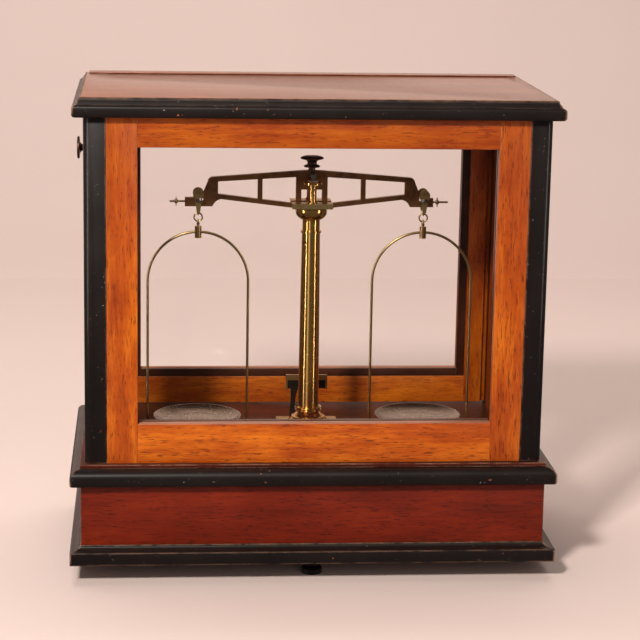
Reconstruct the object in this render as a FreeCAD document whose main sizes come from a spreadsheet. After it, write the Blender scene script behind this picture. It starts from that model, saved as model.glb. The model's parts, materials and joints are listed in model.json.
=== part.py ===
"""Analytical balance in a glazed mahogany case, built as separate parts in millimetres.

X runs across the case, Y from the plain back towards the sliding front sash, Z up.
The origin is on the table, under the middle of the case.
"""
import FreeCAD, Part
import math
import os

doc = FreeCAD.newDocument("analytical_balance")

# Driving sizes in millimetres, in the order they are met from the table upwards.
SIZES = {
    "case_width": 415, "case_depth": 218, "foot_height": 18,
    "skirt_height": 17, "skirt_out": 14, "plinth_height": 56, "plinth_out": 3.75,
    "panel_thick": 12, "moulding_height": 15.5, "moulding_out": 13.5, "ledge_height": 3.5,
    "ledge_out": 4.5, "floor_rise": 2.5, "bottom_board": 8,
    "frame_height": 313, "post_side": 20, "post_round": 7, "frame_thick": 18,
    "stile_width": 27.5, "low_rail": 36.5, "top_rail": 26.5, "lip": 10, "bead_width": 9,
    "glass_thick": 2, "cap_height": 17.5, "cap_out": 9.5, "cap_edge": 7.5, "cap_lap": 7.5,
    "sash_gap": 4, "sash_thick": 12, "sash_rise": 0.5, "tongue": 6, "tongue_thick": 5,
    "sash_stile": 25.5, "sash_rail": 35, "sash_bead": 8, "strip_thick": 1.3, "strip_inset": 0.3,
    "screw_height": 368, "screw_head": 21, "screw_out": 12,
    "pillar_back": 21, "foot_plate": 57, "foot_plate_thick": 10, "bell_radius": 21.3,
    "column_low_radius": 9.7, "column_top_radius": 8.6, "column_bottom": 141, "column_top": 319,
    "rod_bore": 3.2, "rod_radius": 2.5, "cup_radius": 14.8, "cup_height": 12,
    "jaw_width": 37.6, "jaw_depth": 14, "jaw_thick": 4.7, "jaw_gap": 8,
    "pillar_height": 20.6, "pillar_radius": 3.5, "pillar_disc": 8.4, "pillar_offset": 14,
    "knife_height": 357.6, "end_knife_height": 339.6, "arm": 104.6, "beam_thick": 5, "beam_apex": 364.8,
    "chord_end": 358.2, "chord_end_x": 91.7, "chord_thick": 4.4, "low_chord": 4.3,
    "beam_bottom": 329.9, "rod_height": 335.4,
    "block_end_left": 117, "rod_end_left": 131, "nut_at_left": 125,
    "block_end_right": 113.3, "rod_end_right": 127.2, "nut_at_right": 117.2,
    "nut_radius": 4.3, "nut_thick": 3,
    "knob_radius": 10.4, "bow_half": 46.6, "bow_wire": 2.4, "bow_apex": 306.8,
    "bow_bottom": 125, "pan_radius": 41, "pan_depth": 5.2, "pan_rim": 1.2,
    "ferrule_radius": 3.1, "ferrule_length": 11, "ring_radius": 3.8, "ring_wire": 1.4,
    "ring_height": 320.5, "scale_height": 164.6, "scale_width": 39.6,
    "shaft_height": 56, "shaft_radius": 3, "lift": 2.5, "cam_radius": 11.5,
    "arrest_knob": 12, "knob_gap": 0.5, "knob_length": 18.5, "pointer_height": 345,
    "screw_foot_x": 180, "screw_foot_y": 84, "back_foot_y": 92,
}

sheet = doc.addObject("Spreadsheet::Sheet", "Sizes")
for row, (name, number) in enumerate(SIZES.items(), start=1):
    sheet.set(f"A{row}", name)
    sheet.set(f"B{row}", str(number))
    sheet.setAlias(f"B{row}", name)
doc.recompute()


class Size:
    """A length kept as a sheet expression together with its present value."""

    def __init__(self, text, value):
        self.text = text
        self.value = value

    def __float__(self):
        return float(self.value)

    def __add__(self, other):
        return Size(f"({self.text} + {text_of(other)})", self.value + float(other))

    def __radd__(self, other):
        return Size(f"({text_of(other)} + {self.text})", float(other) + self.value)

    def __sub__(self, other):
        return Size(f"({self.text} - {text_of(other)})", self.value - float(other))

    def __rsub__(self, other):
        return Size(f"({text_of(other)} - {self.text})", float(other) - self.value)

    def __mul__(self, other):
        return Size(f"({self.text} * {text_of(other)})", self.value * float(other))

    __rmul__ = __mul__

    def __truediv__(self, other):
        return Size(f"({self.text} / {text_of(other)})", self.value / float(other))

    def __neg__(self):
        return Size(f"(0 - {self.text})", -self.value)


def text_of(value):
    return value.text if isinstance(value, Size) else f"({value})"


def size(name):
    return Size(f"Sizes.{name}", float(sheet.get(name)))


def bind(thing, prop, value):
    """Sets a property from a number, or ties it to the sheet when the value is a Size."""
    if isinstance(value, Size):
        thing.setExpression(prop, value.text)
    else:
        thing.setExpression(prop, str(float(value)))


TURN = {
    "z": FreeCAD.Rotation(),
    "x": FreeCAD.Rotation(FreeCAD.Vector(0, 1, 0), 90),
    "-x": FreeCAD.Rotation(FreeCAD.Vector(0, 1, 0), -90),
    "y": FreeCAD.Rotation(FreeCAD.Vector(1, 0, 0), -90),
    "-y": FreeCAD.Rotation(FreeCAD.Vector(1, 0, 0), 90),
}


def put(thing, spot, turn="z"):
    """Turns an object onto an axis and ties its position to the sheet."""
    thing.Placement = FreeCAD.Placement(FreeCAD.Vector(), TURN[turn])
    for axis, value in zip("xyz", spot):
        bind(thing, f"Placement.Base.{axis}", value)
    return thing


def box(label, low, high):
    """A square-edged piece between two opposite corners."""
    piece = doc.addObject("Part::Box", label)
    for prop, start, end in zip(("Length", "Width", "Height"), low, high):
        bind(piece, prop, end - start)
    return put(piece, low)


def rod(label, radius, length, spot, turn="z"):
    piece = doc.addObject("Part::Cylinder", label)
    bind(piece, "Radius", radius)
    bind(piece, "Height", length)
    return put(piece, spot, turn)


def ball(label, radius, spot):
    piece = doc.addObject("Part::Sphere", label)
    bind(piece, "Radius", radius)
    return put(piece, spot)


def ring(label, radius, wire, spot, turn="z", sweep=360):
    piece = doc.addObject("Part::Torus", label)
    bind(piece, "Radius1", radius)
    bind(piece, "Radius2", wire)
    piece.Angle3 = sweep
    return put(piece, spot, turn)


def fuse(label, pieces):
    whole = doc.addObject("Part::MultiFuse", label)
    whole.Shapes = pieces
    return whole


def cut(label, base, tools):
    tool = tools[0]
    if len(tools) > 1:
        tool = fuse(label + "_tools", tools)
    whole = doc.addObject("Part::Cut", label)
    whole.Base = base
    whole.Tool = tool
    return whole


def together(label, pieces):
    """Separate solids kept under one name."""
    whole = doc.addObject("Part::Compound", label)
    whole.Links = pieces
    return whole


def plane_of(body, role):
    return next(item for item in body.Origin.OriginFeatures if item.Role == role)


def draw(sketch, outline):
    """Closes an outline of (u, v) points; four numbers make an arc to the first two through the last two."""
    points = [FreeCAD.Vector(float(p[0]), float(p[1]), 0) for p in outline]
    for index, end in enumerate(outline):
        start_point = points[index - 1]
        if len(end) == 4:
            middle = FreeCAD.Vector(float(end[2]), float(end[3]), 0)
            sketch.addGeometry(Part.Arc(start_point, middle, points[index]), False)
        else:
            sketch.addGeometry(Part.LineSegment(start_point, points[index]), False)


def body_with_sketch(label, role, outlines):
    body = doc.addObject("PartDesign::Body", label)
    sketch = body.newObject("Sketcher::SketchObject", label + "_sketch")
    sketch.AttachmentSupport = (plane_of(body, role), [""])
    sketch.MapMode = "FlatFace"
    for outline in outlines:
        draw(sketch, outline)
    doc.recompute()
    return body, sketch


def turned(label, outline, spot, turn="z"):
    """A lathe-turned piece: outline points are (radius, height) from its own foot."""
    body, sketch = body_with_sketch(label, "XZ_Plane", [outline])
    lathe = body.newObject("PartDesign::Revolution", label + "_turning")
    lathe.Profile = sketch
    lathe.ReferenceAxis = (sketch, ["V_Axis"])
    lathe.Angle = 360
    return put(body, spot, turn)


def plate(label, outlines, thick, spot):
    """A flat piece standing in the X-Z plane, as thick as given about that plane."""
    body, sketch = body_with_sketch(label, "XZ_Plane", outlines)
    pad = body.newObject("PartDesign::Pad", label + "_pad")
    pad.Profile = sketch
    bind(pad, "Length", thick)
    pad.Midplane = True
    return put(body, spot)


# Levels and half sizes worked out once from the sheet.
half_x = size("case_width") / 2
half_y = size("case_depth") / 2
skirt_z = size("foot_height")
plinth_z = skirt_z + size("skirt_height")
moulding_z = plinth_z + size("plinth_height")
ledge_z = moulding_z + size("moulding_height")
frame_z = ledge_z + size("ledge_height")
floor_z = frame_z + size("floor_rise")
cap_z = frame_z + size("frame_height")
top_z = cap_z + size("cap_height")
post_x = half_x - size("post_side")
post_y = half_y - size("post_side")
beam_y = -size("pillar_back")
lap = size("bead_width")
running = 0.3
nose = 3.0
mitre_reach = 60
mitre_inner = 30


def mitred_run(profile, along, across, side):
    """One length of moulding. The profile is (distance out, height) and its ends are cut at 45 degrees."""
    points = [FreeCAD.Vector(0, -(across + out), height) for out, height in profile]
    face = Part.Face(Part.makePolygon(points + points[:1]))
    far_x, far_y = along + mitre_reach, across + mitre_reach
    near_x, near_y = along - mitre_inner, across - mitre_inner
    bar = face.extrude(FreeCAD.Vector(2 * far_x, 0, 0))
    bar.translate(FreeCAD.Vector(-far_x, 0, 0))
    corners = [(-near_x, -near_y), (near_x, -near_y), (far_x, -far_y), (-far_x, -far_y)]
    fence = Part.Face(Part.makePolygon([FreeCAD.Vector(x, y, -10) for x, y in corners + corners[:1]]))
    run = bar.common(fence.extrude(FreeCAD.Vector(0, 0, 600)))
    run.rotate(FreeCAD.Vector(), FreeCAD.Vector(0, 0, 1), 90 * side)
    return run.Solids[0]


def curve(start, end, centre, steps=8):
    """Points of a quarter of an ellipse from start to end about a centre."""
    points = []
    for step in range(steps + 1):
        angle = math.pi / 2 * step / steps
        out = centre[0] + (start[0] - centre[0]) * math.cos(angle) + (end[0] - centre[0]) * math.sin(angle)
        up = centre[1] + (start[1] - centre[1]) * math.cos(angle) + (end[1] - centre[1]) * math.sin(angle)
        points.append((out, up))
    return points


def moulding(label, profile, tool=None):
    """Four mitred lengths round the case."""
    runs = []
    for side in range(4):
        long_way = side % 2 == 0
        along = float(half_x if long_way else half_y)
        across = float(half_y if long_way else half_x)
        run = mitred_run(profile, along, across, side)
        if tool is not None:
            run = run.cut(tool).Solids[0]
        runs.append(run)
    piece = doc.addObject("Part::Feature", label)
    piece.Shape = Part.makeCompound(runs)
    return piece


def skirt():
    inner = float(size("plinth_out"))
    outer = float(size("skirt_out"))
    low, high = float(skirt_z), float(plinth_z)
    face = low + 12
    cove = curve((outer, face), (inner + 1.5, high - 1), (outer, high - 1))
    moulding("skirt_moulding", [(inner, low), (outer, low)] + cove + [(inner + 1.5, high), (inner, high)])


def base_moulding():
    """A half-round under the ledge: flat underside, short upright face and a rounded top."""
    outer = float(size("moulding_out"))
    ledge = float(size("ledge_out"))
    low, high = float(moulding_z), float(ledge_z)
    shoulder = high - 7
    lower = curve((outer - nose, low), (outer, low + nose), (outer - nose, low + nose), steps=4)
    upper = curve((outer, shoulder), (ledge, high), (ledge, shoulder))
    moulding("base_moulding", [(0, low)] + lower + upper + [(0, high)])


def cap():
    """The lid: a panel inside mitred mouldings, with a slot for the sash along its front."""
    inner = -float(size("cap_lap"))
    outer = float(size("cap_out"))
    edge = outer - float(size("cap_edge"))
    low, high = float(cap_z), float(top_z)
    step = high - float(size("cap_edge"))
    lower = curve((outer - nose, low), (outer, low + nose), (outer - nose, low + nose), steps=4)
    upper = curve((outer, low + 8), (outer - nose, low + 11), (outer - nose, low + 8), steps=4)
    slope = [(edge + 3, high - 3.6), (edge + 1.6, high - 2.4), (edge + 1.4, high - 0.6), (edge, high)]
    slot_half = post_x - size("sash_gap") + size("tongue") + 1.5
    slot_back = half_y - size("sash_thick") - 0.6
    wide, front = float(slot_half), float(half_y) + 0.6
    room = Part.makeBox(2 * wide, 60, 40, FreeCAD.Vector(-wide, front - 60, low - 5))
    moulding("cap_moulding", [(inner, low)] + lower + upper + slope + [(edge, step), (inner, step)], room)
    border = size("cap_out") - size("cap_edge")
    shelf = top_z - size("cap_edge")
    upper_slab = box("cap_panel_top", (-half_x - border, -half_y - border, shelf),
                     (half_x + border, half_y + border, top_z))
    under = box("cap_panel_under", (size("cap_lap") - half_x, size("cap_lap") - half_y, cap_z),
                (half_x - size("cap_lap"), half_y - size("cap_lap"), shelf))
    slot = box("cap_panel_slot", (-slot_half, slot_back, cap_z - 5), (slot_half, half_y + 20, top_z + 5))
    cut("cap_panel", fuse("cap_panel_slab", [upper_slab, under]), [slot])


def plinth():
    """Four panels, the board they carry and the board that closes them underneath."""
    out_x = half_x + size("plinth_out")
    out_y = half_y + size("plinth_out")
    thick = size("panel_thick")
    low = skirt_z + 2
    box("plinth_back", (-out_x, -out_y, low), (out_x, thick - out_y, moulding_z))
    front = box("plinth_front_panel", (-out_x, out_y - thick, low), (out_x, out_y, moulding_z))
    hole = rod("plinth_front_hole", size("shaft_radius") + running, 40,
               (0, out_y - 30, size("shaft_height")), "y")
    cut("plinth_front", front, [hole])
    box("plinth_left", (-out_x, thick - out_y, low), (thick - out_x, out_y - thick, moulding_z))
    box("plinth_right", (out_x - thick, thick - out_y, low), (out_x, out_y - thick, moulding_z))
    under = box("bottom_board_slab", (thick - out_x, thick - out_y, low),
                (out_x - thick, out_y - thick, low + size("bottom_board")))
    holes = [rod(f"bottom_board_hole_{n}", 4.1, 60, (side * size("screw_foot_x"), size("screw_foot_y"), 0))
             for n, side in enumerate((-1, 1))]
    cut("bottom_board", under, holes)


def base_board():
    inner = box("base_board_core", (-half_x, -half_y, moulding_z), (half_x, half_y, ledge_z))
    out = size("ledge_out")
    ledge = box("base_board_ledge", (-half_x - out, -half_y - out, ledge_z),
                (half_x + out, half_y + out, frame_z))
    floor = box("base_board_floor", (0.2 - post_x, size("frame_thick") - half_y + 0.2, frame_z),
                (post_x - 0.2, half_y, floor_z))
    hole = rod("base_board_hole", size("rod_bore"), 60, (0, beam_y, moulding_z - 10))
    cut("base_board", fuse("base_board_slab", [inner, ledge, floor]), [hole])


def post(name, side_x, side_y):
    """A corner post, square inside and rounded on its outer corner."""
    body = doc.addObject("PartDesign::Body", name + "_body")
    sketch = body.newObject("Sketcher::SketchObject", name + "_sketch")
    sketch.AttachmentSupport = (plane_of(body, "XY_Plane"), [""])
    sketch.MapMode = "FlatFace"
    side = float(size("post_side"))
    bend = float(size("post_round"))
    corner = side - bend + bend * math.sqrt(0.5)
    outline = [(0, 0), (side, 0), (side, side - bend), (side - bend, side, corner, corner), (0, side)]
    turned_outline = [tuple(value * (side_x if place % 2 == 0 else side_y) for place, value in enumerate(point))
                      for point in outline]
    draw(sketch, turned_outline)
    doc.recompute()
    pad = body.newObject("PartDesign::Pad", name + "_pad")
    pad.Profile = sketch
    bind(pad, "Length", size("frame_height"))
    put(body, (side_x * post_x, side_y * post_y, frame_z))
    if side_y < 0:
        body.Label = name
        return
    middle = half_y - size("sash_thick") / 2
    half_tongue = size("tongue_thick") / 2 + running
    depth = size("tongue") - size("sash_gap") + 1
    inside = side_x * post_x
    low_x = inside if side_x > 0 else inside - depth
    groove = box(name + "_groove", (low_x, middle - half_tongue, frame_z - 1),
                 (low_x + depth, middle + half_tongue, cap_z + 1))
    tools = [groove]
    if side_x < 0:
        tools.append(rod(name + "_screw_hole", 2.8, size("post_side") + 2,
                         (-half_x - 1, middle, size("screw_height")), "x"))
    cut(name, body, tools)


def frame_pieces(name, half_width, low, high, low_rail, top_rail, stile, thick):
    """Two stiles and two rails, outer face at Y = 0, with a step behind the lip for the glass."""
    lip = size("lip")
    pieces = []
    for n, side in enumerate((-1, 1)):
        outer = side * half_width
        inner = side * (half_width - stile)
        step = side * (half_width - stile + lap)
        x_low, x_high = (outer, inner) if side < 0 else (inner, outer)
        s_low, s_high = (outer, step) if side < 0 else (step, outer)
        front = box(f"{name}_stile_lip_{n}", (x_low, 0, low), (x_high, lip, high))
        back = box(f"{name}_stile_step_{n}", (s_low, lip, low), (s_high, thick, high))
        pieces.append(fuse(f"{name}_stile_{n}", [front, back]))
    inside = half_width - stile
    for n, (z_low, z_high, s_low, s_high) in enumerate((
            (low, low + low_rail, low, low + low_rail - lap),
            (high - top_rail, high, high - top_rail + lap, high))):
        front = box(f"{name}_rail_lip_{n}", (-inside, 0, z_low), (inside, lip, z_high))
        back = box(f"{name}_rail_step_{n}", (-inside - lap, lip, s_low), (inside + lap, thick, s_high))
        pieces.append(fuse(f"{name}_rail_{n}", [front, back]))
    return pieces


def glazing(name, half_width, low, high, low_rail, top_rail, stile, thick):
    """The pane behind the lips and the four beads that hold it."""
    lip = size("lip")
    side = half_width - stile + lap
    z_low = low + low_rail - lap
    z_high = high - top_rail + lap
    pane = box(f"{name}_pane", (-side, lip, z_low), (side, lip + size("glass_thick"), z_high))
    deep = lip + size("glass_thick")
    beads = []
    for n, edge in enumerate((-1, 1)):
        a, b = edge * side, edge * (side - lap)
        beads.append(box(f"{name}_bead_side_{n}", (a if edge < 0 else b, deep, z_low),
                         (b if edge < 0 else a, thick, z_high)))
    for n, (a, b) in enumerate(((z_low, z_low + lap), (z_high - lap, z_high))):
        beads.append(box(f"{name}_bead_rail_{n}", (lap - side, deep, a), (side - lap, thick, b)))
    return pane, beads


def seat(label, pieces, spot, degrees):
    """Gathers pieces made about their own plane and turns them to one wall of the case."""
    whole = together(label, pieces)
    whole.Placement = FreeCAD.Placement(FreeCAD.Vector(), FreeCAD.Rotation(FreeCAD.Vector(0, 0, 1), degrees))
    for axis, value in zip("xyz", spot):
        bind(whole, f"Placement.Base.{axis}", value)


def walls():
    """Glazed frames at the back and on both sides, each between its posts."""
    spans = {"back": (post_x, (0, -half_y, 0), 0),
             "left": (post_y, (2 - half_x, 0, 0), -90),
             "right": (post_y, (half_x - 2, 0, 0), 90)}
    for name, (half_width, spot, degrees) in spans.items():
        sizes = (half_width, frame_z, cap_z, size("low_rail"), size("top_rail"), size("stile_width"),
                 size("frame_thick"))
        seat(f"{name}_frame", frame_pieces(name, *sizes), spot, degrees)
        pane, beads = glazing(name, *sizes)
        seat(f"{name}_glass", [pane], spot, degrees)
        seat(f"{name}_beads", beads, spot, degrees)


def sash():
    """The sliding front: its frame has tongues that run in the posts and its top passes through the cap."""
    half_width = post_x - size("sash_gap")
    low = floor_z + size("sash_rise")
    high = top_z + running
    top_rail = size("top_rail") + size("cap_height") + running
    thick = size("sash_thick")
    lip = size("lip") - 4
    bead = size("sash_bead")
    pieces = []
    middle = half_y - thick / 2
    opening = half_width - size("sash_stile")
    face = half_y - thick
    for n, side in enumerate((-1, 1)):
        edges = sorted((side * half_width, side * opening), key=float)
        steps = sorted((side * half_width, side * (opening + bead)), key=float)
        tongues = sorted((side * half_width, side * (half_width + size("tongue"))), key=float)
        lip_box = box(f"sash_stile_lip_{n}", (edges[0], half_y - lip, low), (edges[1], half_y, high))
        step_box = box(f"sash_stile_step_{n}", (steps[0], face, low), (steps[1], half_y - lip, high))
        tongue = box(f"sash_tongue_{n}", (tongues[0], middle - size("tongue_thick") / 2, low),
                     (tongues[1], middle + size("tongue_thick") / 2, high))
        pieces.append(fuse(f"sash_stile_{n}", [lip_box, step_box, tongue]))
    rails = ((low, low + size("sash_rail"), low, low + size("sash_rail") - bead),
             (high - top_rail, high, high - top_rail + bead, high))
    for n, (z_low, z_high, s_low, s_high) in enumerate(rails):
        lip_box = box(f"sash_rail_lip_{n}", (-opening, half_y - lip, z_low), (opening, half_y, z_high))
        step_box = box(f"sash_rail_step_{n}", (-opening - bead, face, s_low),
                       (opening + bead, half_y - lip, s_high))
        pieces.append(fuse(f"sash_rail_{n}", [lip_box, step_box]))
    together("sash_frame", pieces)
    side = opening + bead
    z_low = low + size("sash_rail") - bead
    z_high = high - top_rail + bead
    pane_back = half_y - lip - size("glass_thick")
    box("sash_glass", (-side, pane_back, z_low), (side, half_y - lip, z_high))
    beads = []
    for n, edge in enumerate((-1, 1)):
        ends = sorted((edge * side, edge * (side - bead)), key=float)
        beads.append(box(f"sash_bead_side_{n}", (ends[0], face, z_low), (ends[1], pane_back, z_high)))
    for n, (a, b) in enumerate(((z_low, z_low + bead), (z_high - bead, z_high))):
        beads.append(box(f"sash_bead_rail_{n}", (bead - side, face, a), (side - bead, pane_back, b)))
    together("sash_beads", beads)
    border = size("cap_out") - size("cap_edge")
    end = half_x - size("strip_inset")
    box("sash_strip", (-end, face - 4, high), (end, half_y + border, high + size("strip_thick")))


def sash_screw():
    """Turned knob and stem that screws through the left front post against the sash tongue."""
    head = size("screw_head") / 2
    out = size("screw_out")
    stem = 2.5
    outline = [(0, 0), (stem, 0), (stem, 17.3), (6, 17.3), (6, 18.5), (3, 19.5), (2.8, 21.5),
               (5.5, 25.8, 3.6, 24.2), (head, 26.4), (head, 28.6, head + 0.4, 27.4), (head - 4, 29), (0, 29)]
    turned("sash_screw", outline, (-half_x - out + 29, half_y - size("sash_thick") / 2, size("screw_height")), "-x")


def feet():
    """One fixed foot at the back and two levelling screws at the front."""
    low = skirt_z + 2
    foot = [(0, 0), (9, 0), (10, 1, 9.7, 0.3), (10, 5), (7, 8), (7, low), (0, low)]
    turned("back_foot", foot, (0, -size("back_foot_y"), 0))
    screw = [(0, 0), (9, 0), (10, 1, 9.7, 0.3), (10, 4), (9, 5), (4.5, 6.5), (4.5, 9), (11, 9.5), (11, 14.5),
             (5, 15.5), (4, 16), (4, 44), (0, 44)]
    for name, side in (("left", -1), ("right", 1)):
        turned(f"levelling_screw_{name}", screw, (side * size("screw_foot_x"), size("screw_foot_y"), 0))


def pillar():
    """Foot plate, bell foot, column, the cup with its two rest jaws and the pillars of the planes."""
    side = size("foot_plate") / 2
    top = floor_z + size("foot_plate_thick")
    bore = size("rod_bore")
    slab = box("foot_plate_slab", (-side, beam_y - side, floor_z), (side, beam_y + side, top))
    cut("foot_plate", slab, [rod("foot_plate_bore", bore, 40, (0, beam_y, floor_z - 5))])
    bell = float(size("bell_radius"))
    rise = float(size("column_bottom") - top)
    foot = [(bore, 0), (bell, 0), (bell, 2.4, bell + 0.6, 1.2), (bell - 1.1, 2.9), (15.6, 7.9, 17.4, 5.7),
            (15.6, 8.7), (14.4, 9.2), (10.6, 12.7, 12.1, 11.2), (9.4, 13.1), (9.4, 13.8), (12, 14.3),
            (12, 15.7, 12.6, 15), (11, 16), (12, 16.6), (12, 17.8, 12.6, 17.2), (10, rise), (bore, rise)]
    turned("column_foot", foot, (0, beam_y, top))
    height = float(size("column_top") - size("column_bottom"))
    low_r, top_r = float(size("column_low_radius")), float(size("column_top_radius"))
    collar = height - 12.2
    shaft = [(bore, 0), (low_r, 0), (top_r, collar), (top_r + 1.1, collar), (top_r + 1.1, collar + 1.6),
             (top_r - 0.4, collar + 2), (top_r - 0.4, height), (bore, height)]
    turned("column", shaft, (0, beam_y, size("column_bottom")))
    rise = float(size("cup_height"))
    wide = float(size("cup_radius"))
    cup = [(bore, 0), (8.4, 0), (wide, 8.2, wide - 1.9, 2.9), (wide, rise - 1.6), (wide - 0.8, rise), (bore, rise)]
    body = turned("capital_cup", cup, (0, beam_y, size("column_top")))
    seat_z = size("column_top") + size("cup_height")
    gap = size("jaw_gap") / 2
    groove = box("capital_groove", (-20, beam_y - gap, seat_z - 3.5), (20, beam_y + gap, seat_z + 1))
    pocket = box("capital_pocket", (-5.4, beam_y - 3.8, seat_z - 7.8), (5.4, beam_y + 3.8, seat_z + 1))
    cut("capital", body, [groove, pocket])
    jaws = []
    jaw_half = size("jaw_width") / 2
    for n, side in enumerate((-1, 1)):
        near = beam_y + side * gap
        far = beam_y + side * (gap + size("jaw_depth"))
        ends = sorted((near, far), key=float)
        jaws.append(box(f"jaw_{n}", (-jaw_half, ends[0], seat_z), (jaw_half, ends[1], seat_z + size("jaw_thick"))))
    together("rest_jaws", jaws)
    post_radius = float(size("pillar_radius"))
    disc = float(size("pillar_disc"))
    rise = float(size("pillar_height"))
    outline = [(0, 0), (post_radius + 1, 0), (post_radius + 1, 1.2), (post_radius, 1.6), (post_radius, rise - 3.2),
               (disc, rise - 2.6), (disc, rise - 0.6), (disc - 0.6, rise), (0, rise)]
    foot_z = seat_z + size("jaw_thick")
    pillars = []
    planes = []
    for n, side in enumerate((-1, 1)):
        middle = beam_y + side * size("pillar_offset")
        pillars.append(turned(f"pillar_{n}", outline, (0, middle, foot_z)))
        planes.append(rod(f"plane_{n}", 5, size("knife_height") - 0.05 - foot_z - size("pillar_height"),
                          (0, middle, foot_z + size("pillar_height"))))
    together("bearing_pillars", pillars)
    together("bearing_planes", planes)


def scale():
    """The pointer's scale stands on a dark bracket in front of the column."""
    half = size("scale_width") / 2
    top = size("scale_height")
    low = top - 14.5
    face = 2.5
    bar = box("scale_bar", (-half, face, top - 5.3), (half, face + 2, top))
    leg = 1.7
    legs = [box(f"scale_leg_{n}", (x, face, low), (x + leg, face + 2, top))
            for n, x in enumerate((-half, half - leg))]
    fuse("scale_plate", [bar] + legs)
    box("scale_dial", (leg - half, face + 0.4, low + 1), (half - leg, face + 1.6, top - 5.3))
    foot = floor_z + size("foot_plate_thick")
    rise = float(low + 1 - foot)
    outline = [(-16, 0), (-9, 0), (-9, 3), (-11, 12, -10.6, 7), (-8, rise, -10.2, 20), (-15, rise),
               (-16, 3, -15.2, 14)]
    plate("scale_bracket", [outline], 3, (0, face + 1, foot))


def arrest():
    """Knob, cross shaft with its cam and the rod it lets down inside the column, which steadies the beam."""
    height = size("shaft_height")
    radius = size("shaft_radius")
    front = half_y + size("plinth_out")
    shaft_rod = rod("arrest_shaft_rod", radius, front + 4 - (beam_y - 14), (0, beam_y - 14, height), "y")
    high_r, drop, steps = float(size("cam_radius")), float(size("lift")), 24
    points = []
    for step in range(steps + 1):
        angle = math.radians(-30 + 150 * step / steps)
        reach = high_r - drop * min(max(math.degrees(angle), 0), 90) / 90
        points.append((reach * math.sin(-angle), reach * math.cos(angle)))
    for step in range(1, 12):
        angle = math.radians(120 + 210 * step / 12)
        reach = high_r - drop * (1 - step / 12)
        points.append((reach * math.sin(-angle), reach * math.cos(angle)))
    cam = plate("arrest_cam", [points], 6, (0, beam_y, height))
    fuse("arrest_shaft", [shaft_rod, cam])
    knob = size("arrest_knob")
    outline = [(radius, 0), (6, 0), (6, 3), (4.5, 5), (4.5, 8), (knob, 9.5), (knob, 15, knob + 0.8, 12.2),
               (knob - 4, 17.5), (0, size("knob_length")), (0, 4), (radius, 4)]
    turned("arrest_knob", outline, (0, front + size("knob_gap"), height), "y")
    blocks = []
    for n, spot in enumerate((beam_y - 10, beam_y + 10)):
        block = box(f"bearing_block_{n}", (-8, spot - 3, height - 8), (8, spot + 3, moulding_z))
        hole = rod(f"bearing_hole_{n}", radius + 0.05, 20, (0, spot - 8, height), "y")
        blocks.append(cut(f"bearing_{n}", block, [hole]))
    together("shaft_bearings", blocks)
    head_z = size("beam_bottom") - running
    foot = height + size("cam_radius") + running
    stem = rod("lift_stem", size("rod_radius"), head_z - foot - 2.5, (0, beam_y, foot + 1.5))
    tip = ball("lift_tip", 1.5, (0, beam_y, foot + 1.5))
    head = box("lift_head", (-5, beam_y - 3.4, head_z - 3), (5, beam_y + 3.4, head_z))
    fuse("lift_rod", [stem, tip, head])


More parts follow.
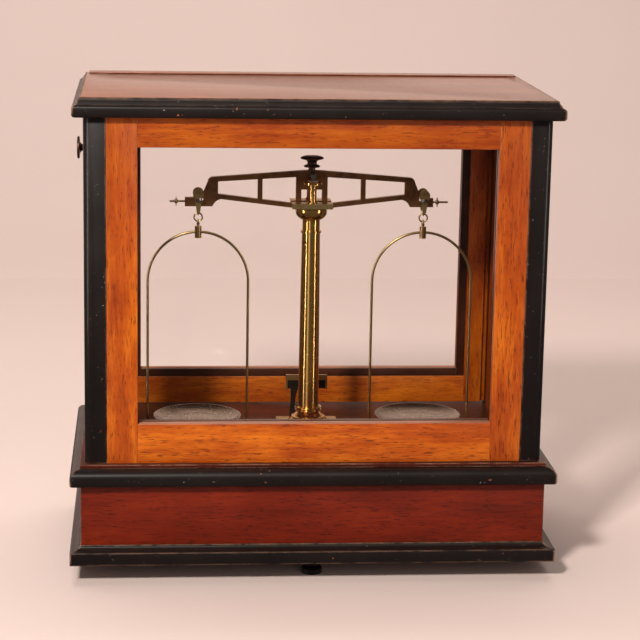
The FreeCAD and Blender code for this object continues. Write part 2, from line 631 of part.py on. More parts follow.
def beam():
    """The open-work beam: a nearly level upper chord, lower chords falling to the middle, and two struts."""
    apex, end_z = float(size("beam_apex")), float(size("chord_end"))
    end_x, low = float(size("chord_end_x")), float(size("beam_bottom"))
    arm, edge = float(size("arm")), float(size("end_knife_height"))
    knee = 84.0
    knee_z = edge - 1.8
    foot_x = 17.5

    def half_outline(block):
        return [(6.5, apex), (end_x, end_z), (end_x + 4, end_z - 3.6, end_x + 2.8, end_z - 1.2),
                (arm - 4.6, edge + 4.4), (arm - 4.6, edge - 3.4), (arm + 1.6, edge - 3.4),
                (arm + 1.6, edge - 0.4), (block, edge - 0.4), (block, edge - 8.6), (arm - 13, edge - 8.6),
                (knee, knee_z, arm - 16, edge - 4.2), (foot_x, low)]

    outline = half_outline(float(size("block_end_right")))
    other = half_outline(float(size("block_end_left")))
    for place in reversed(range(len(other))):
        spot = (-other[place][0], other[place][1])
        before = other[place + 1] if place + 1 < len(other) else spot
        if len(before) == 4:
            spot += (-before[2], before[3])
        outline.append(spot)
    slope_top = (apex - end_z) / (end_x - 6.5)
    slope_low = (knee_z - low) / (knee - foot_x)
    thick_top, thick_low = float(size("chord_thick")), float(size("low_chord"))

    def under(x):
        return apex - slope_top * (x - 6.5) - thick_top - 1.4 * (1 - x / end_x)

    def over(x):
        return low + slope_low * (x - foot_x) + thick_low

    holes = []
    for start, end in ((14.6, 45.6), (50, 86.5)):
        for side in (-1, 1):
            holes.append([(side * start, over(start)), (side * end, over(end)), (side * end, under(end)),
                          (side * start, under(start))])
    window, web = 9.6, 347.0
    holes.append([(-window, low + 4), (window, low + 4), (window, web), (-window, web)])
    blank = plate("beam_blank", [outline] + holes, size("beam_thick"), (0, beam_y, 0))
    stud = rod("beam_stud", 1.44, 12, (0, beam_y, size("beam_apex") - 1))
    prism_outline = [(0, 0), (2.6, 3.5), (2.6, 5.5), (-2.6, 5.5), (-2.6, 3.5)]
    prisms = [plate("knife_middle", [prism_outline], 38, (0, beam_y, size("knife_height")))]
    for n, side in enumerate((-1, 1)):
        wedge = [(0, 0), (1.9, -3.4), (-1.9, -3.4)]
        prisms.append(plate(f"knife_end_{n}", [wedge], 19, (side * size("arm"), beam_y, size("end_knife_height"))))
    cut("beam", fuse("beam_whole", [blank, stud]), prisms)
    together("knives", prisms)
    rods = []
    height, thick, wide = size("rod_height"), size("nut_thick"), float(size("nut_radius"))
    middle = float(thick) / 2
    face = [(0.95, middle), (1.7, middle), (1.9, 0.7), (2.6, 0.45), (wide, 0.3)]
    nut = [(out, middle - rise) for out, rise in face] + [(out, middle + rise) for out, rise in reversed(face)]
    for name, side in (("left", -1), ("right", 1)):
        near, far = size(f"block_end_{name}"), size(f"rod_end_{name}")
        start = near if side > 0 else -far
        rods.append(rod(f"adjusting_rod_{name}", 0.9, far - near, (start, beam_y, height), "x"))
        turned(f"adjusting_nut_{name}", nut, (side * size(f"nut_at_{name}") - thick / 2, beam_y, height), "x")
    together("adjusting_rods", rods)
    wide = size("knob_radius")
    knob = [(1.5, 0.3), (3.2, 0.3), (3.2, 2.2), (7.1, 3), (7.1, 4.4, 7.5, 3.7), (4.5, 5.6), (5.8, 9.4, 4.4, 7.6),
            (wide, 10.7), (wide, 12, wide + 0.4, 11.3), (8.2, 12.9), (0, 12.9), (0, 11.7), (1.5, 11.7)]
    turned("sensitivity_knob", knob, (0, beam_y, size("beam_apex")))


def pointer():
    """The needle hangs in front of the column from a hanger that passes on both sides of the front pillar."""
    out = size("pillar_back")
    low = size("pointer_height")
    arms = []
    for n, side in enumerate((-1, 1)):
        ends = sorted((side * 10.6, side * 12.8))
        arms.append(box(f"pointer_arm_{n}", (ends[0], beam_y + size("beam_thick") / 2, low),
                        (ends[1], beam_y + out + 0.8, low + 3)))
    bar = box("pointer_bar", (-12.8, beam_y + out - 0.8, low), (12.8, beam_y + out + 0.8, low + 3))
    upper = rod("pointer_upper", 0.8, low - 240 + 1, (0, beam_y + out, 240))
    lower = rod("pointer_lower", 0.5, 84, (0, beam_y + out, 157))
    fuse("pointer", arms + [bar, upper, lower])


def suspension(name, side):
    """Stirrup on the end knife, link ring with swivel eye, wire bow and the pan it carries."""
    x = side * size("arm")
    edge = size("end_knife_height")
    parts = []
    for n, way in enumerate((-1, 1)):
        start = beam_y - 10.5 if way < 0 else beam_y + 3.5
        parts.append(rod(f"stirrup_boss_{name}_{n}", 3.4, 7, (x, start, edge), "y"))
        parts.append(rod(f"stirrup_head_{name}_{n}", 5, 1.2, (x, beam_y + way * 7 - 0.6, edge + 2.8), "y"))
        outline = [(-3.3, 0), (3.3, 0), (1.6, -13.5), (-1.6, -13.5)]
        parts.append(plate(f"stirrup_cheek_{name}_{n}", [outline], 1.2, (x, beam_y + way * 7, edge)))
    parts.append(box(f"stirrup_bridge_{name}", (x - 1.8, beam_y - 10.5, edge + 2.2),
                     (x + 1.8, beam_y + 10.5, edge + 4.2)))
    parts.append(box(f"stirrup_sill_{name}", (x - 1.6, beam_y - 7.6, edge - 13.5),
                     (x + 1.6, beam_y + 7.6, edge - 11.9)))
    loop = size("ring_height") + size("ring_radius") + 0.4
    parts.append(ring(f"stirrup_loop_{name}", 2, 0.55, (x, beam_y, loop), "x"))
    notch = box(f"stirrup_notch_{name}", (x - 2.6, beam_y - 11, edge - 4.2),
                (x + 2.6, beam_y + 11, edge + 0.05))
    cut(f"stirrup_{name}", fuse(f"stirrup_whole_{name}", parts), [notch])
    link = ring(f"link_ring_{name}", size("ring_radius"), size("ring_wire") / 2,
                (x, beam_y, size("ring_height")), "y")
    eye_z = size("ring_height") - size("ring_radius") + 1.65 - 2
    eye = ring(f"link_eye_{name}", 2, 0.6, (x, beam_y, eye_z), "x")
    top = size("bow_apex") + size("ferrule_length") / 2
    stem = rod(f"link_stem_{name}", 1, eye_z - 2 - top + 2.2, (x, beam_y, top - 2.2))
    head = rod(f"link_head_{name}", 1.7, 1.6, (x, beam_y, top - 3.5))
    bead = ball(f"link_bead_{name}", 1.6, (x, beam_y, eye_z - 1.9))
    together(f"link_{name}", [link, fuse(f"link_swivel_{name}", [eye, stem, head, bead])])
    wire = size("bow_wire") / 2
    half = size("bow_half")
    spring = size("bow_apex") - half
    low = size("bow_bottom")
    arch = ring(f"bow_arch_{name}", half, wire, (x, beam_y, spring), "-y", 180)
    legs = [rod(f"bow_leg_{name}_{n}", wire, spring - low, (x + way * half, beam_y, low))
            for n, way in enumerate((-1, 1))]
    tips = [ball(f"bow_tip_{name}_{n}", 1.7, (x + way * half, beam_y, low)) for n, way in enumerate((-1, 1))]
    bar = rod(f"bow_bar_{name}", wire, half * 2, (x - half, beam_y, low), "x")
    ferrule = rod(f"bow_ferrule_{name}", size("ferrule_radius"), size("ferrule_length"),
                  (x, beam_y, top - size("ferrule_length")))
    cavity = rod(f"bow_cavity_{name}", 1.95, 2.2, (x, beam_y, top - 3.8))
    bore = rod(f"bow_bore_{name}", 1.08, 4, (x, beam_y, top - 2))
    cut(f"bow_{name}", fuse(f"bow_whole_{name}", [arch, ferrule, bar] + legs + tips), [cavity, bore])
    radius, depth, rim = float(size("pan_radius")), float(size("pan_depth")), float(size("pan_rim"))
    seat_z = low + wire + 0.1
    dish = [(0, 0), (radius * 0.55, 0.5), (radius, depth, radius * 0.86, depth * 0.42), (radius, depth + rim * 0.5),
            (radius - 0.8, depth + rim * 0.5), (radius * 0.54, 1.2, radius * 0.84, depth * 0.42 + 0.75), (0, 0.75)]
    turned(f"pan_{name}", dish, (x, beam_y, seat_z))


NODES = [
    "base_board", "bottom_board", "plinth_back", "plinth_front", "plinth_left", "plinth_right", "base_moulding",
    "skirt_moulding", "cap_moulding", "cap_panel", "post_back_left", "post_back_right", "post_front_left",
    "post_front_right", "back_frame", "back_glass", "back_beads", "left_frame", "left_glass", "left_beads",
    "right_frame", "right_glass", "right_beads", "sash_frame", "sash_glass", "sash_beads", "sash_strip", "sash_screw",
    "back_foot", "levelling_screw_left", "levelling_screw_right", "foot_plate", "column_foot", "column", "capital",
    "rest_jaws", "bearing_pillars", "scale_plate", "scale_dial", "scale_bracket", "arrest_knob", "arrest_shaft",
    "shaft_bearings", "lift_rod", "bearing_planes", "beam", "knives", "pointer", "sensitivity_knob",
    "adjusting_rods", "adjusting_nut_left", "adjusting_nut_right", "stirrup_left", "stirrup_right", "link_left",
    "link_right", "bow_left", "bow_right", "pan_left", "pan_right",
]


def build():
    plinth()
    base_board()
    skirt()
    base_moulding()
    cap()
    for way_y, depth_name in ((-1, "back"), (1, "front")):
        for way_x, side_name in ((-1, "left"), (1, "right")):
            post(f"post_{depth_name}_{side_name}", way_x, way_y)
    walls()
    sash()
    sash_screw()
    feet()
    pillar()
    scale()
    arrest()
    beam()
    pointer()
    for name, side in (("left", -1), ("right", 1)):
        suspension(name, side)


def check(thing):
    state = [word for word in thing.State if word in ("Invalid", "Error")]
    if state:
        raise RuntimeError(f"{thing.Label}: {state}")
    if hasattr(thing, "Shape") and thing.isDerivedFrom("Part::Feature"):
        if thing.Shape.isNull() or not thing.Shape.isValid():
            raise RuntimeError(f"{thing.Label}: the shape is not valid")


def write():
    """Writes each piece, moved so that the origin is under the middle of the whole depth, knob included."""
    os.makedirs("parts", exist_ok=True)
    knob_tip = size("plinth_out") + size("knob_gap") + size("knob_length")
    shift = float(knob_tip - size("skirt_out")) / 2
    for node in NODES:
        thing = next(item for item in doc.Objects if item.Label == node)
        shape = thing.Shape.copy()
        shape.translate(FreeCAD.Vector(0, -shift, 0))
        shape.exportStep(f"parts/{node}.step")
        box_of = shape.BoundBox
        print(node, len(shape.Solids), "solids", [round(value, 1) for value in (
            box_of.XMin, box_of.XMax, box_of.YMin, box_of.YMax, box_of.ZMin, box_of.ZMax)])
    print("moved back by", shift)


build()
doc.recompute()
for item in doc.Objects:
    check(item)
write()
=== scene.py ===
# %% [markdown]
# # Analytical balance in a glazed mahogany case
# The CAD model gives every piece its size and place. This script gives the pieces their looks:
# french-polished mahogany, ebonised mouldings, lacquered brass, a bronze beam, silvered pans and old glass.

# %% Load the balance
import json
import math

import bmesh
import bpy
from mathutils import Matrix, Vector

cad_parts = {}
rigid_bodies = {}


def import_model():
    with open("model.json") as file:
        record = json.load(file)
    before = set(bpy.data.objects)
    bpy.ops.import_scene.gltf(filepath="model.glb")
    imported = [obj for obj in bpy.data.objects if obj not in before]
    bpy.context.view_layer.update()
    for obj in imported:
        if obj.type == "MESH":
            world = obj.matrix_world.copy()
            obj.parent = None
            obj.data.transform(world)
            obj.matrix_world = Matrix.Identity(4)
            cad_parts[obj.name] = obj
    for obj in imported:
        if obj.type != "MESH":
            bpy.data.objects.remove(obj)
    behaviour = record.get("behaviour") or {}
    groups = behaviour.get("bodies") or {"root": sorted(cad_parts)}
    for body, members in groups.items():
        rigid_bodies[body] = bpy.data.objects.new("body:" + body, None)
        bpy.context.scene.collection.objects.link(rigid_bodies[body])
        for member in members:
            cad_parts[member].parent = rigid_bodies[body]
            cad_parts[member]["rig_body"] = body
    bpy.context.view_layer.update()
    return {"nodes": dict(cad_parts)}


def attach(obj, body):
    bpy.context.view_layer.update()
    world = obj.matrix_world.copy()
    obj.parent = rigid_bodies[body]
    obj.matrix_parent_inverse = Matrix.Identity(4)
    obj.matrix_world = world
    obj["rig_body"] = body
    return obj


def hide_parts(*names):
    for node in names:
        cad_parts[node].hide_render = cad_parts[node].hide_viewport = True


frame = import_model()

# %% [markdown]
# ## Shader maths as plain expressions
# A finish is worked out from masks: how worn an edge is, where the pores are, how dull a spot is.
# Written as nodes by hand, such sums are long and hard to read. Here one small class stands for a value
# that runs between nodes, so `1 - mask * 0.5` adds the Math nodes by itself.


# %% A value that runs between nodes
class Wire:
    """One output socket. Arithmetic on it adds Math nodes to the same finish."""

    def __init__(self, finish, socket):
        self.finish = finish
        self.socket = socket

    def math(self, operation, *others, clamp=False):
        values = [self, *others]
        inputs = {place: value for place, value in enumerate(values)}
        return self.finish.add("Math", {"operation": operation, "use_clamp": clamp}, inputs)

    def __add__(self, other):
        return self.math("ADD", other)

    __radd__ = __add__

    def __mul__(self, other):
        return self.math("MULTIPLY", other)

    __rmul__ = __mul__

    def __sub__(self, other):
        return self.math("SUBTRACT", other)

    def __rsub__(self, other):
        return self.finish.add("Math", {"operation": "SUBTRACT"}, {0: other, 1: self})

    def __truediv__(self, other):
        return self.math("DIVIDE", other)

    def __pow__(self, other):
        return self.math("POWER", other)

    def between(self, low, high):
        """0 below low, 1 above high, and smooth in between."""
        return self.finish.add("MapRange", {"interpolation_type": "SMOOTHSTEP"},
                               {"Value": self, "From Min": low, "From Max": high})


# %% A finish: one material and the nodes behind it
class Finish:
    """A material with one Principled shader. Every node in it comes from add()."""

    def __init__(self, name):
        self.material = bpy.data.materials.new(name)
        self.material.use_nodes = True
        self.tree = self.material.node_tree
        self.tree.nodes.clear()
        self.shader = self.tree.nodes.new("ShaderNodeBsdfPrincipled")
        self.output = self.tree.nodes.new("ShaderNodeOutputMaterial")
        self.tree.links.new(self.shader.outputs[0], self.output.inputs["Surface"])
        self.place = self.add("TexCoord", out="Object")

    def add(self, kind, settings=None, inputs=None, out=0):
        node = self.tree.nodes.new("ShaderNode" + kind)
        for name, value in (settings or {}).items():
            if name == "stops":
                set_stops(node.color_ramp, value)
            else:
                setattr(node, name, value)
        for key, value in (inputs or {}).items():
            self.feed(node.inputs[key], value)
        return Wire(self, node.outputs[out])

    def feed(self, socket, value):
        if isinstance(value, Wire):
            self.tree.links.new(value.socket, socket)
        elif isinstance(value, (tuple, list)) and len(value) == 3 and socket.type == "RGBA":
            socket.default_value = (*value, 1)
        else:
            socket.default_value = value

    def set(self, **values):
        """Shader sockets by name, with spaces written as underscores."""
        for name, value in values.items():
            self.feed(self.shader.inputs[name.replace("_", " ")], value)
        return self

    def stretch(self, scale, place=None):
        """Coordinates stretched differently along X, Y and Z."""
        return self.add("VectorMath", {"operation": "MULTIPLY"}, {0: place or self.place, 1: scale})

    def noise(self, scale, detail=4, rough=0.55, stretch=(1, 1, 1), warp=0.0, place=None):
        inputs = {"Vector": self.stretch(stretch, place), "Scale": scale, "Detail": detail, "Roughness": rough,
                  "Distortion": warp}
        return self.add("TexNoise", None, inputs)

    def mix(self, mask, first, second, how="MIX"):
        """The first colour where the mask is 0 and the second where it is 1."""
        settings = {"data_type": "RGBA", "blend_type": how, "clamp_factor": True}
        return self.add("Mix", settings, {0: mask, 6: first, 7: second}, out=2)

    def edges(self, radius):
        """A mask of the sharp edges: where a rounded normal leaves the flat one."""
        rounded = self.add("Bevel", {"samples": 4}, {"Radius": radius})
        flat = self.add("NewGeometry", out="Normal")
        same = self.add("VectorMath", {"operation": "DOT_PRODUCT"}, {0: rounded, 1: flat}, out="Value")
        return 1 - same

    def bump(self, height, strength, distance):
        return self.add("Bump", None, {"Height": height, "Strength": strength, "Distance": distance})


def set_stops(ramp, stops):
    while len(ramp.elements) < len(stops):
        ramp.elements.new(0.5)
    for element, (position, colour) in zip(ramp.elements, stops):
        element.position = position
        element.color = (*colour, 1)


# %% [markdown]
# ## French-polished mahogany
# Mahogany is a red-brown wood with short dark pores that run with the grain and a broad, soft figure that
# changes from board to board. The polish is thin shellac: glossy, but a little uneven after a century.
# The colour is built from three noises stretched along the grain, and the grain direction is a setting,
# because rails, stiles and side rails run different ways. A random value per board shifts each one's tone.


# %% Mahogany
GRAIN = {"x": (1, 10, 10), "y": (10, 1, 10), "z": (10, 10, 1)}


def mahogany(name, grain, deep, middle, light, coat=0.18, dust=0.0, darker_top=0.0, wear=0.35, spread=1.0):
    f = Finish(name)
    way = GRAIN[grain]
    board = f.add("NewGeometry", out="Random Per Island")
    shift = f.add("CombineXYZ", None, {0: board * 0.7, 1: board * 1.3, 2: board * 0.9})
    place = f.add("VectorMath", {"operation": "ADD"}, {0: f.place, 1: shift})
    figure = f.noise(6, detail=5, stretch=tuple(v * 0.6 for v in way), warp=0.8, place=place)
    cloud = f.noise(13, detail=3, stretch=tuple(1 + (v - 1) * 0.1 for v in way), warp=0.5, place=place)
    streak = f.noise(26, detail=8, rough=0.72, stretch=way, place=place)
    pores = f.noise(95, detail=3, rough=0.65, stretch=way, place=place)
    mixed = figure * 0.42 + cloud * 0.3 + streak * 0.38 - 0.05
    tone = f.add("ValToRGB", {"stops": [(0.5 - 0.15 * spread, deep), (0.5, middle), (0.5 + 0.15 * spread, light)]},
                 {"Fac": mixed + (board - 0.5) * 0.1})
    pore_mask = pores.between(0.55, 0.66)
    colour = f.mix(pore_mask * 0.75, tone, tuple(v * 0.45 for v in deep))
    height_up = f.add("SeparateXYZ", None, {0: f.place}, out="Z")
    # Painted shade: the wood is darker towards the top of the frame, under the overhanging cap.
    if darker_top:
        painted_top_shade_mask = (height_up + cloud * 0.12).between(0.34, 0.47) * darker_top
        colour = f.mix(painted_top_shade_mask, colour, deep)
    worn = f.edges(0.0016).between(0.02, 0.18)
    scuffs = f.noise(60, detail=6, rough=0.7).between(0.4, 0.6)
    colour = f.mix(worn * scuffs * wear, colour, (0.55, 0.30, 0.18))
    grime = f.noise(9, detail=6, rough=0.65)
    # Upward faces: dust, plus a painted sheen in the pale pink of the wall, lighter towards (0.50, 0.31, 0.23).
    if dust:
        upward = f.add("SeparateXYZ", None, {0: f.add("NewGeometry", out="Normal")}, out="Z").between(0.6, 1.0)
        colour = f.mix(upward * (grime * 0.5 + 0.5) * dust, colour, (0.50, 0.31, 0.23))
    f.set(Base_Color=colour, Roughness=grime * 0.25 + pore_mask * 0.15 + worn * 0.1 + 0.3,
          Normal=f.bump(streak * 0.35 + (1 - pore_mask) * 0.4, 0.1, 0.0003), Coat_Weight=(1 - worn) * coat)
    f.shader.inputs["Coat Roughness"].default_value = 0.16
    f.shader.inputs["Specular IOR Level"].default_value = 0.22
    return f.material


def woods(name, tones, **options):
    """The same wood with its grain along X, Y and Z."""
    return {grain: mahogany(f"mahogany_{name}_{grain}", grain, *tones, **options) for grain in "xyz"}


ORANGE = ((0.17, 0.015, 0.001), (0.42, 0.070, 0.002), (0.68, 0.17, 0.005))
RED = ((0.075, 0.005, 0.0005), (0.16, 0.011, 0.0008), (0.28, 0.026, 0.0015))
BROWN = ((0.11, 0.018, 0.005), (0.21, 0.045, 0.012), (0.32, 0.085, 0.026))
DARK = ((0.025, 0.003, 0.001), (0.055, 0.006, 0.002), (0.10, 0.014, 0.005))
UMBER = ((0.018, 0.006, 0.003), (0.050, 0.013, 0.005), (0.10, 0.024, 0.008))
frame_wood = woods("frame", ORANGE, dust=0.7, darker_top=0.4)
bead_wood = woods("bead", UMBER, dust=0.4)
panel_wood = woods("panel", RED, spread=1.5)
top_wood = woods("top", BROWN, coat=0.7, dust=0.35, spread=1.4)
floor_wood = woods("floor", DARK, coat=0.25, dust=0.05, wear=0.9)
print("mahogany finishes", len(bpy.data.materials))

# %% [markdown]
# ## Ebonised wood
# The mouldings are stained black and polished, a cheap and very durable stand-in for ebony.
# Hands and dusters rub the stain off the edges first, so brown wood shows there, and knocks leave small
# red-brown chips. An edge mask times a noise gives the rubbed edges, and a thresholded noise the chips.


# %% Ebonised wood with rubbed edges
def ebonised(name):
    f = Finish(name)
    mottling = f.noise(14, detail=7, rough=0.65)
    worn = f.edges(0.0022).between(0.01, 0.12)
    patchy = f.noise(60, detail=7, rough=0.75).between(0.38, 0.58)
    chips = f.noise(210, detail=3, rough=0.6).between(0.69, 0.72) * f.noise(22, detail=2).between(0.5, 0.62)
    colour = f.mix(mottling, (0.004, 0.003, 0.003), (0.014, 0.008, 0.007))
    colour = f.mix(worn * patchy * 0.75, colour, (0.36, 0.19, 0.11))
    colour = f.mix(chips, colour, (0.32, 0.09, 0.025))
    specks = f.noise(420, detail=2).between(0.72, 0.76)
    colour = f.mix(specks * 0.5, colour, (0.42, 0.36, 0.3))
    f.set(Base_Color=colour, Roughness=mottling * 0.22 + worn * 0.15 + 0.28, Coat_Weight=(1 - chips) * 0.2,
          Normal=f.bump(f.noise(45, detail=5) * 0.5 - chips * 0.6, 0.18, 0.0005))
    f.shader.inputs["Coat Roughness"].default_value = 0.2
    f.shader.inputs["Specular IOR Level"].default_value = 0.3
    return f.material


black_wood = ebonised("ebonised_wood")

# %% [markdown]
# ## Brass, bronze, silvering, steel and agate
# Lacquered brass is bright, with faint brown stains where the lacquer is thin and fine turning marks.
# All the metals share one recipe: a base colour, a stain colour, how far the stain goes, and two ends of
# roughness. Only numbers differ, so one function makes them all.


# %% Metals
def metal(name, base, stain, stained=0.4, smooth=0.12, dull=0.34, marks=0.04, scale=60, pits=0.0, brushed=0.0):
    f = Finish(name)
    cloud = f.noise(scale, detail=6, rough=0.65, warp=0.5)
    fine = f.noise(scale * 9, detail=3, rough=0.6)
    spots = f.noise(scale * 5, detail=4, rough=0.7).between(0.6, 0.7)
    mask = cloud.between(0.42, 0.72) * stained + spots * stained * 0.5
    colour = f.mix(mask, base, stain)
    f.set(Base_Color=colour, Roughness=cloud * (dull - smooth) + spots * 0.12 + smooth,
          Normal=f.bump(fine + spots * pits, marks, 0.0002))
    f.shader.inputs["Metallic"].default_value = 1.0
    f.shader.inputs["Anisotropic"].default_value = brushed
    f.shader.inputs["Anisotropic Rotation"].default_value = 0.25
    return f.material


BRASS, BRASS_STAIN = (0.84, 0.50, 0.15), (0.34, 0.16, 0.045)
turned_brass = metal("turned_brass", BRASS, BRASS_STAIN, stained=0.3, smooth=0.20, dull=0.28, marks=0.0, brushed=0.95)
brass = metal("lacquered_brass", BRASS, BRASS_STAIN, stained=0.35, smooth=0.1, dull=0.24)
dull_brass = metal("aged_brass", (0.66, 0.46, 0.20), (0.28, 0.16, 0.07), stained=0.5, smooth=0.26, dull=0.46)
bow_brass = metal("bow_wire", (0.60, 0.40, 0.17), (0.24, 0.13, 0.06), stained=0.5, smooth=0.24, dull=0.42)
bronze = metal("bronzed_beam", (0.46, 0.21, 0.085), (0.13, 0.055, 0.028), stained=0.7, smooth=0.3, dull=0.5, pits=0.5)
knob_metal = metal("darkened_knob", (0.16, 0.085, 0.06), (0.07, 0.04, 0.03), stained=0.6, smooth=0.3, dull=0.5)
silvered = metal("worn_silvering", (0.34, 0.27, 0.20), (0.14, 0.10, 0.065), stained=0.6, smooth=0.14, dull=0.36,
                 marks=0.1, scale=34, pits=0.4)
steel = metal("ground_steel", (0.36, 0.35, 0.35), (0.16, 0.12, 0.10), stained=0.3, smooth=0.22, dull=0.4)
# Near-black iron. On back_foot and scale_dial the black is painted shade, standing for parts that lie in shadow.
black_iron_and_shade = metal("blackened_iron_and_painted_shade", (0.035, 0.032, 0.03), (0.07, 0.04, 0.025), stained=0.4, smooth=0.35, dull=0.6)


def agate_stone(name):
    f = Finish(name)
    bands = f.noise(220, detail=4, warp=1.2)
    f.set(Base_Color=f.mix(bands, (0.30, 0.20, 0.15), (0.62, 0.52, 0.44)), Roughness=bands * 0.1 + 0.08)
    return f.material


agate = agate_stone("agate")

# %% [markdown]
# ## Old glass
# The panes are thin and clear, with finger smudges and a few specks of dust. A full refracting shader
# needs many more samples for the same look, so the pane is mostly see-through and keeps a weak,
# sharp reflection. Smudges raise both how much shows and how rough it is.


# %% Glass
def pane_glass(name):
    f = Finish(name)
    smudge = f.noise(11, detail=7, rough=0.6, warp=1.0).between(0.5, 0.78)
    dust_specks = f.noise(330, detail=2).between(0.74, 0.78)
    scratches = f.noise(140, detail=3, stretch=(0.12, 0.12, 2.2)).between(0.73, 0.77)
    facing = f.add("LayerWeight", None, {"Blend": 0.35}, out="Fresnel")
    f.set(Base_Color=(0.80, 0.76, 0.72), Roughness=smudge * 0.2 + 0.04,
          Alpha=facing * 0.25 + smudge * 0.02 + dust_specks * 0.2 + scratches * 0.03)
    f.shader.inputs["Metallic"].default_value = 1.0
    return f.material


glass = pane_glass("pane_glass")

# %% [markdown]
# ## Joinery with eased edges
# A cabinet maker takes every sharp arris off with a stroke of fine paper. CAD boards are perfectly sharp,
# so they catch no light along their edges. Each wooden piece is copied from its CAD solid, its triangles are
# joined back into flat faces, and a narrow bevel is put on. The size doesn't change, and the copy rides on the
# same body as the solid that it stands for.


def joined(bm):
    """Triangles joined back into flat faces."""
    bmesh.ops.remove_doubles(bm, verts=bm.verts, dist=0.000002)
    bmesh.ops.dissolve_limit(bm, angle_limit=math.radians(1), verts=bm.verts, edges=bm.edges)


def boards(bm):
    """Groups of faces that hang together. Two boards that touch share an edge of four faces, and that is no way over."""
    left = set(bm.faces)
    while left:
        group, queue = [], [left.pop()]
        while queue:
            face = queue.pop()
            group.append(face)
            near = {other for edge in face.edges if len(edge.link_faces) == 2 for other in edge.link_faces}
            queue.extend(near & left)
            left -= near
        yield group


def stand_in(node, mesh):
    """Puts a finished mesh in the place of a CAD solid, on the same body."""
    piece = bpy.data.objects.new(node + "_look", mesh)
    bpy.context.scene.collection.objects.link(piece)
    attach(piece, frame["nodes"][node]["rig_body"])
    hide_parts(node)
    return piece


def bevelled(mesh, width, limit=38):
    piece = bpy.data.objects.new("being_bevelled", mesh)
    bpy.context.scene.collection.objects.link(piece)
    bevel = piece.modifiers.new("eased", "BEVEL")
    bevel.width = width
    bevel.segments = 2
    bevel.limit_method = "ANGLE"
    bevel.angle_limit = math.radians(limit)
    bevel.harden_normals = True
    finished = bpy.data.meshes.new_from_object(piece.evaluated_get(bpy.context.evaluated_depsgraph_get()))
    bpy.data.objects.remove(piece)
    return finished


def eased(node, finishes, width=0.0006):
    """A wooden piece with soft arrises, its grain running along each board."""
    bm = bmesh.new()
    bm.from_mesh(frame["nodes"][node].data)
    joined(bm)
    groups = [list(group) for group in boards(bm)]
    for group in groups:
        verts = {vert for face in group for vert in face.verts}
        spans = [max(v.co[axis] for v in verts) - min(v.co[axis] for v in verts) for axis in range(3)]
        for face in group:
            face.material_index = spans.index(max(spans))
            face.smooth = True
    for group in groups[1:]:
        bmesh.ops.split(bm, geom=group)
    mesh = bpy.data.meshes.new(node + "_wood")
    bm.to_mesh(mesh)
    bm.free()
    for grain in "xyz":
        mesh.materials.append(finishes[grain])
    stand_in(node, bevelled(mesh, width))
    return len(groups)


blacks = {grain: black_wood for grain in "xyz"}
WOODWORK = {
    "back_frame": frame_wood, "left_frame": frame_wood, "right_frame": frame_wood, "sash_frame": frame_wood,
    "back_beads": bead_wood, "left_beads": bead_wood, "right_beads": bead_wood, "sash_beads": bead_wood,
    "post_back_left": blacks, "post_back_right": blacks, "post_front_left": blacks, "post_front_right": blacks,
    "plinth_back": panel_wood, "plinth_front": panel_wood, "plinth_left": panel_wood, "plinth_right": panel_wood,
    "bottom_board": floor_wood, "base_board": floor_wood, "cap_panel": top_wood, "sash_strip": top_wood,
    "base_moulding": blacks, "skirt_moulding": blacks, "cap_moulding": blacks,
}
counts = {node: eased(node, finishes) for node, finishes in WOODWORK.items()}
print("boards in each wooden piece", counts)

# %% [markdown]
# ## Turned and filed metal
# A lathe leaves perfectly round surfaces that meet in crisp corners. The CAD solids have the true profiles, cut into
# many narrow flats. A copy of each is shaded as one round surface, with its corners kept sharp.


# %% Smooth copies of the metal pieces
def smoothed(node, finish, corner=28):
    bm = bmesh.new()
    bm.from_mesh(frame["nodes"][node].data)
    bmesh.ops.remove_doubles(bm, verts=bm.verts, dist=0.000002)
    for face in bm.faces:
        face.smooth = True
    for edge in bm.edges:
        edge.smooth = edge.is_manifold and edge.calc_face_angle() < math.radians(corner)
    mesh = bpy.data.meshes.new(node + "_metal")
    bm.to_mesh(mesh)
    bm.free()
    mesh.materials.append(finish)
    stand_in(node, mesh)
    return len(mesh.polygons)


# %% Finish the metal and the glass
FINISHES = {
    turned_brass: ["column", "bearing_pillars"],
    brass: ["column_foot", "capital", "arrest_knob"],
    dull_brass: ["foot_plate", "rest_jaws", "scale_plate", "levelling_screw_left", "levelling_screw_right",
                 "stirrup_left", "stirrup_right", "adjusting_rods", "adjusting_nut_left", "adjusting_nut_right"],
    bow_brass: ["bow_left", "bow_right", "link_left", "link_right"],
    bronze: ["beam"],
    knob_metal: ["sensitivity_knob", "sash_screw"],
    silvered: ["pan_left", "pan_right"],
    steel: ["knives", "pointer", "lift_rod", "arrest_shaft"],
    # back_foot and scale_dial: painted shade.
    black_iron_and_shade: ["scale_bracket", "scale_dial", "shaft_bearings", "back_foot"],
    agate: ["bearing_planes"],
    glass: ["back_glass", "left_glass", "right_glass", "sash_glass"],
}
for finish, names in FINISHES.items():
    print(finish.name, {name: smoothed(name, finish) for name in names})

# %% [markdown]
# ## Floor and wall
# A pale floor that curves up into a pale wall has no horizon line. Polished metal shows its surroundings, and in a
# photographer's room the near floor would be hidden from it with a black card. Here the floor is left out of the
# reflections instead, and the wall stays in them.


# %% Floor and wall in one sweep
def pale_paper():
    f = Finish("pale_paper")
    grain = f.noise(3, detail=3)
    f.set(Base_Color=f.mix(grain, (0.76, 0.62, 0.58), (0.80, 0.66, 0.62)), Roughness=0.9)
    f.shader.inputs["Specular IOR Level"].default_value = 0.2
    return f.material


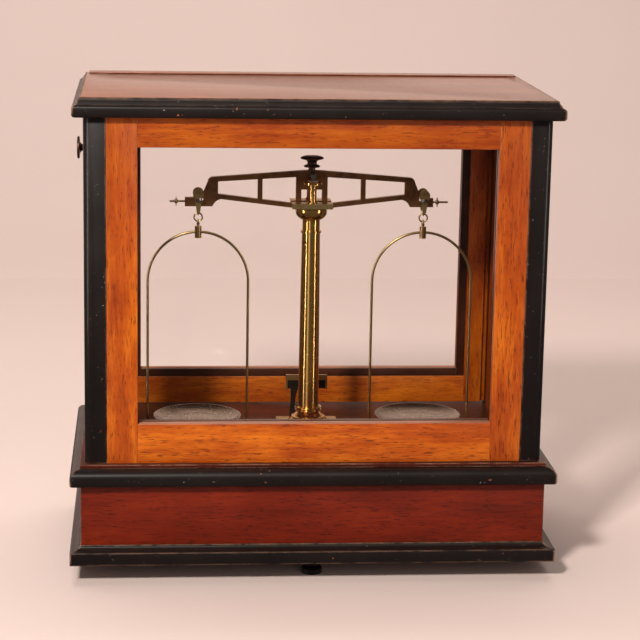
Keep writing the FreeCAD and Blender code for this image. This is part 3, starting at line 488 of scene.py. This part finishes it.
def strip_of_paper(name, profile, paper, mirrored):
    mesh = bpy.data.meshes.new(name)
    verts = [(x, y, z) for y, z in profile for x in (-4.0, 4.0)]
    mesh.from_pydata(verts, [], [(2 * n, 2 * n + 1, 2 * n + 3, 2 * n + 2) for n in range(len(profile) - 1)])
    for face in mesh.polygons:
        face.use_smooth = True
    mesh.materials.append(paper)
    piece = bpy.data.objects.new(name, mesh)
    bpy.context.scene.collection.objects.link(piece)
    piece.visible_glossy = mirrored


paper = pale_paper()
BEND, RADIUS, STEPS = 1.3, 1.2, 12
angles = [math.pi / 2 * step / STEPS for step in range(STEPS + 1)]
curve = [(BEND + RADIUS * math.sin(angle), RADIUS - RADIUS * math.cos(angle)) for angle in angles]
strip_of_paper("floor", [(-1.2, 0.0), curve[0]], paper, mirrored=False)
strip_of_paper("wall", curve + [(BEND + RADIUS, 4.0)], paper, mirrored=True)
print("floor to", BEND, "then a curve of radius", RADIUS)

# %% [markdown]
# ## Soft lights
# One key light from the upper left makes the shadow under the lid. Two tall narrow lights stand where the column
# mirrors them as upright streaks; they give only reflections. The wide lights lift the shadows and are not mirrored.


# %% Soft lights
def soft_light(name, spot, size, power, aim=(0, 0, 0.25), mirrored=True, lit=True):
    lamp = bpy.data.lights.new(name, "AREA")
    lamp.shape = "RECTANGLE"
    lamp.size, lamp.size_y = size
    lamp.energy = power
    lamp.color = (1.0, 0.93, 0.86)
    holder = bpy.data.objects.new(name, lamp)
    holder.location = spot
    holder.rotation_euler = (Vector(aim) - Vector(spot)).to_track_quat("-Z", "Y").to_euler()
    holder.visible_glossy = mirrored
    holder.visible_diffuse = lit
    bpy.context.scene.collection.objects.link(holder)
    print(name, "at", spot, power, "W")


soft_light("left_strip", (-1.75, -1.0, 0.5), (0.16, 1.5), 14, lit=False)
soft_light("right_strip", (1.6, -1.2, 0.5), (0.12, 1.5), 9, lit=False)
soft_light("key", (-0.9, -1.9, 1.75), (0.3, 0.3), 66)
soft_light("fill", (0.3, -2.4, 0.9), (1.6, 1.2), 9, mirrored=False)
soft_light("overhead", (-0.2, 0.4, 2.4), (2.0, 1.6), 24, mirrored=False)
soft_light("wall_light", (0.0, 0.5, 2.4), (2.4, 0.6), 22, aim=(0.0, 2.5, 0.9), mirrored=False)
world = bpy.data.worlds.new("room")
world.use_nodes = True
world.node_tree.nodes["Background"].inputs["Color"].default_value = (0.80, 0.70, 0.62, 1)
world.node_tree.nodes["Background"].inputs["Strength"].default_value = 0.12
bpy.context.scene.world = world
bpy.context.scene.view_settings.view_transform = "Standard"

# %% [markdown]
# ## Camera
# The camera stands about two metres off, a little to the left and above, as someone would who walks up to it.

# %% Camera
EYE = Vector((-0.1509, -1.9376, 0.6414))
TURN, TILT, ROLL = 0.08388, -0.21456, 0.01752
ahead = Vector((math.sin(TURN) * math.cos(TILT), math.cos(TURN) * math.cos(TILT), math.sin(TILT)))
level = Vector((math.cos(TURN), -math.sin(TURN), 0))
upright = level.cross(ahead)
across = level * math.cos(ROLL) + upright * math.sin(ROLL)
upward = upright * math.cos(ROLL) - level * math.sin(ROLL)
lens = bpy.data.cameras.new("camera")
lens.sensor_width = 36
lens.lens = 117.84
camera = bpy.data.objects.new("camera", lens)
camera.matrix_world = Matrix.Translation(EYE) @ Matrix((across, upward, -ahead)).transposed().to_4x4()
bpy.context.scene.collection.objects.link(camera)
bpy.context.scene.camera = camera
